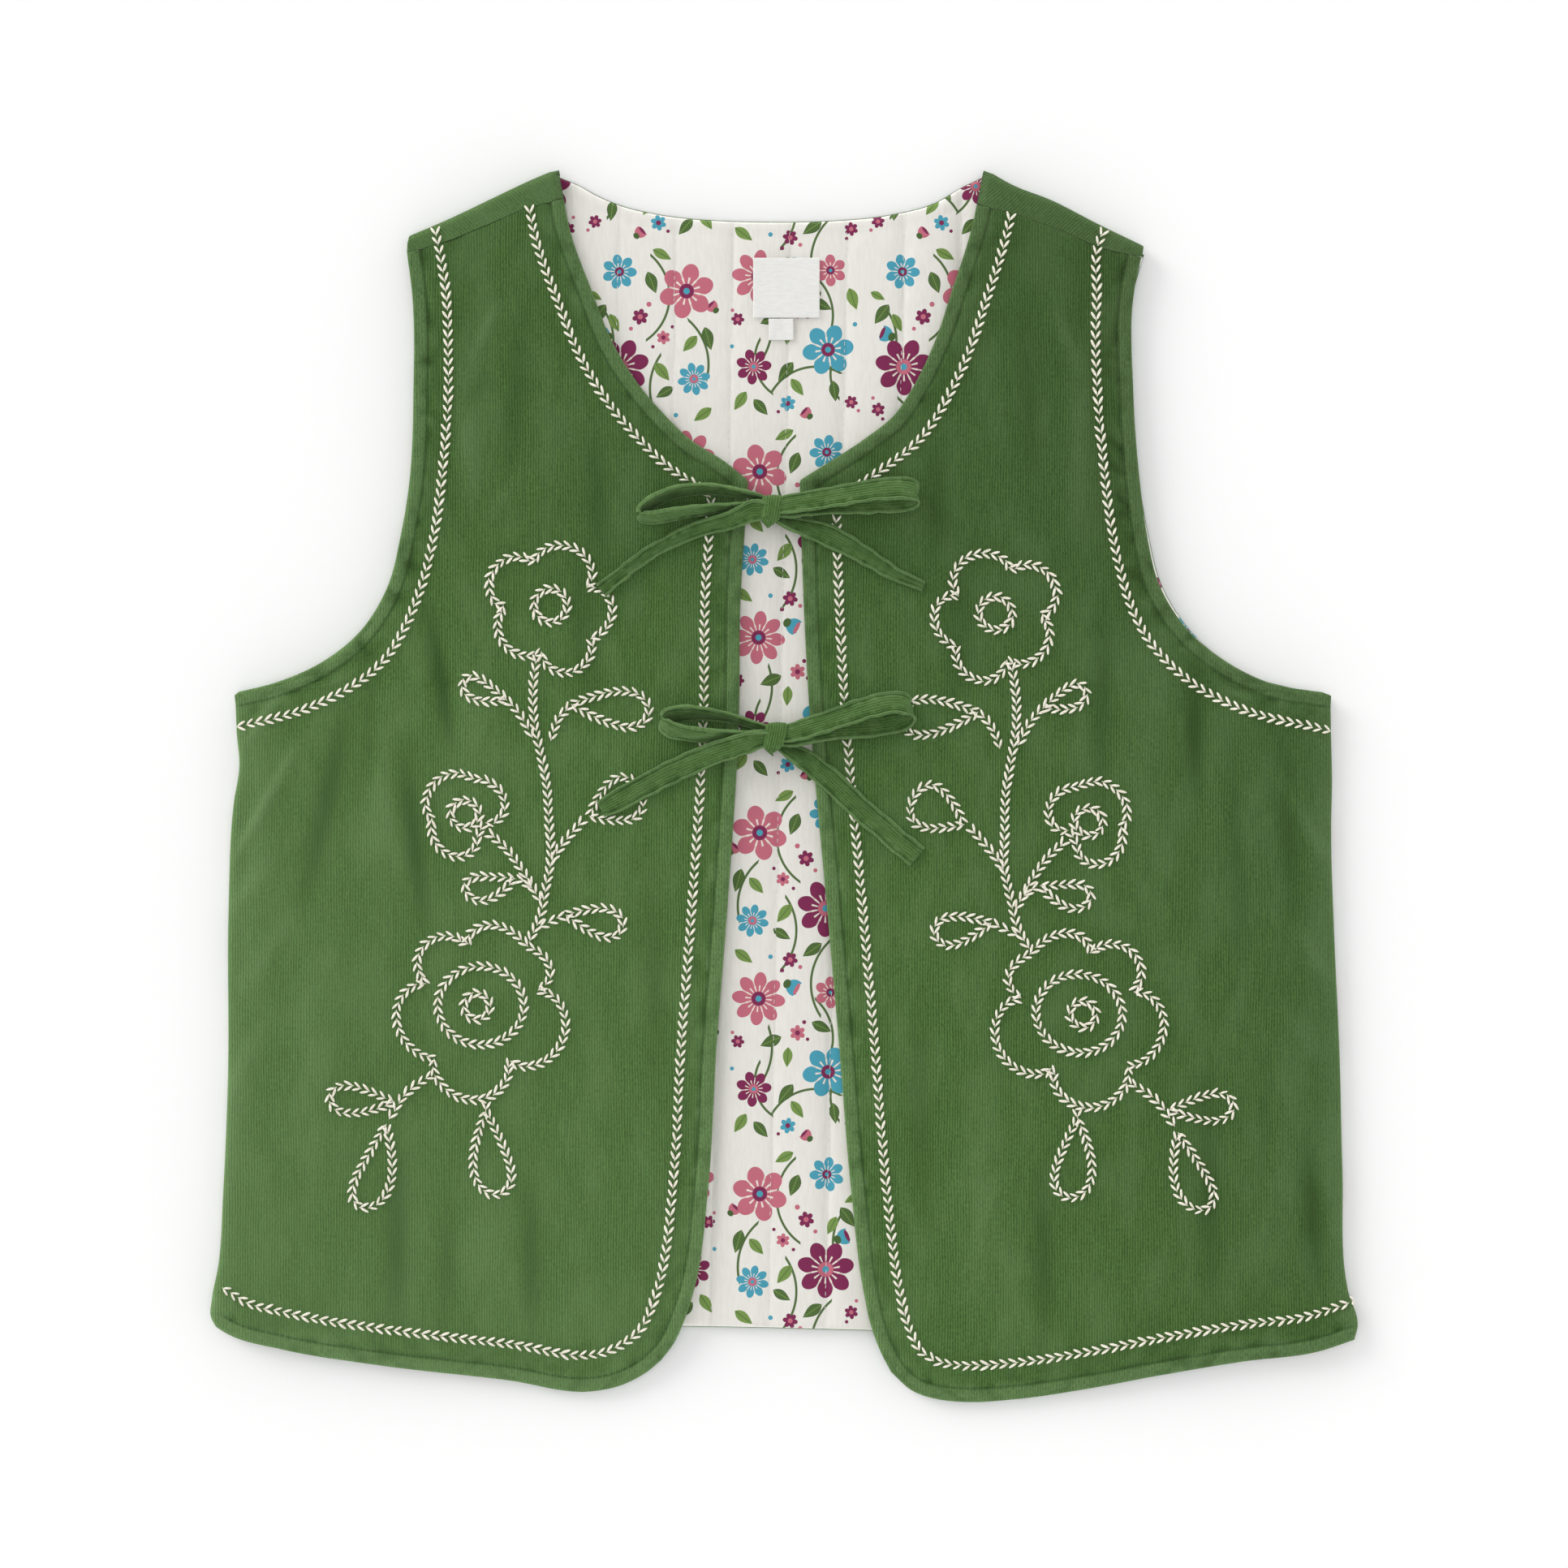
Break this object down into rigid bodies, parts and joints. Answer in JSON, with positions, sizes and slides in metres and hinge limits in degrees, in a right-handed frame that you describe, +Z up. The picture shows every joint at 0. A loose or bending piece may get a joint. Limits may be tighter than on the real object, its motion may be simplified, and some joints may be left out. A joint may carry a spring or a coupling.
{
  "type": "tie-front quilted waistcoat",
  "caption": "Sleeveless tie-front waistcoat laid flat: needlecord fronts and back, a quilted lining that shows at the neck and between the fronts, and tied bows.",
  "frame": {"origin": "centre of the garment's box, at the flat underside of the back, on the surface it lies on", "axes": "+X to the viewer's right across the garment, +Y from hem to shoulders, +Z up out of the surface"},
  "size_m": [0.5342, 0.5746, 0.0195],
  "materials": {
    "needlecord": "green fine-wale cotton needlecord with a soft nap",
    "printed_cotton": "off-white cotton with a small floral print, quilted",
    "tie_cord": "green needlecord ribbon with stitched edges",
    "woven_white": "plain white woven tape"
  },
  "bodies": {
    "root": {"back": "needlecord", "back_lining": "printed_cotton", "front_left": "needlecord", "front_right": "needlecord", "label": "woven_white", "size_tab": "woven_white", "top_knot": "tie_cord", "top_loop_left": "tie_cord", "top_loop_right": "tie_cord", "top_tail_left": "tie_cord", "top_tail_right": "tie_cord", "top_root_left": "tie_cord", "top_root_right": "tie_cord", "lower_knot": "tie_cord", "lower_loop_left": "tie_cord", "lower_loop_right": "tie_cord", "lower_tail_left": "tie_cord", "lower_tail_right": "tie_cord", "lower_root_left": "tie_cord", "lower_root_right": "tie_cord"}
  },
  "joints": []
}
